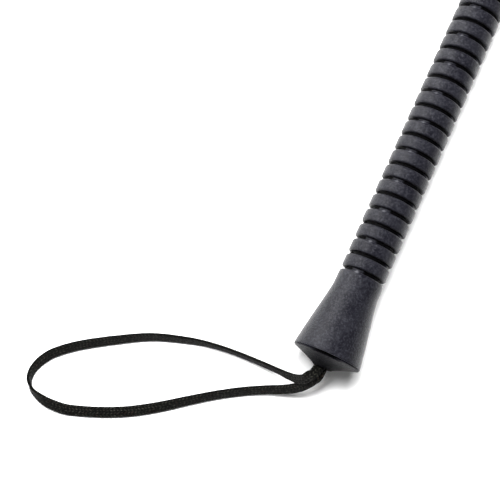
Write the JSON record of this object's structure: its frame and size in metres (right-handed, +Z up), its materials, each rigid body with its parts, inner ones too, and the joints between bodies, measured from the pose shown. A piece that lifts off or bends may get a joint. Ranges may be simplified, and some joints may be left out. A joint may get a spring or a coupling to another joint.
{
  "type": "riding crop",
  "caption": "Riding crop with a ribbed rubber grip flared at the butt, a woven wrist loop, a braided tapering shaft and a hinged leather keeper.",
  "frame": {"origin": "on the surface that the crop lies on, under the middle of its length, wrist loop left out", "axes": "+X from the butt to the tip, +Z up from the surface, +Y to the side that the wrist loop lies on"},
  "size_m": [0.7141, 0.1325, 0.0304],
  "materials": {
    "grip_rubber": "matte moulded rubber",
    "loop_tape": "flat woven tape",
    "washer_steel": "zinc plated",
    "former_plastic": "matte",
    "rod_glass_fibre": "pultruded glass fibre",
    "shaft_braid": "braided nylon",
    "collar_plastic": "satin",
    "keeper_leather": "dyed cowhide",
    "keeper_thread": "waxed thread"
  },
  "bodies": {
    "crop": {"rubber_grip": "grip_rubber", "butt_plug": "grip_rubber", "loop_washer": "washer_steel", "loop_knot": "loop_tape", "grip_former": "former_plastic", "shaft_rod": "rod_glass_fibre", "shaft_braid": "shaft_braid", "grip_collar": "collar_plastic", "rod_tip_cap": "former_plastic", "keeper_root": "keeper_leather", "keeper_binding": "keeper_thread"},
    "keeper": {"keeper_tongue": "keeper_leather", "keeper_stitching": "keeper_thread"},
    "loop": {"wrist_loop": "loop_tape"}
  },
  "joints": [
    {"name": "keeper_flex", "type": "hinge", "parent": "crop", "child": "keeper", "pos_m": [0.23278, 0, 0.0059], "axis": [0, 1, 0], "range_deg": [-60, 0], "stiffness_Nm_per_rad": 0.2},
    {"name": "loop_swing", "type": "hinge", "parent": "crop", "child": "loop", "pos_m": [-0.3284, 0, 0.0152], "axis": [0, 0, 1], "range_deg": [-25, 70]}
  ]
}
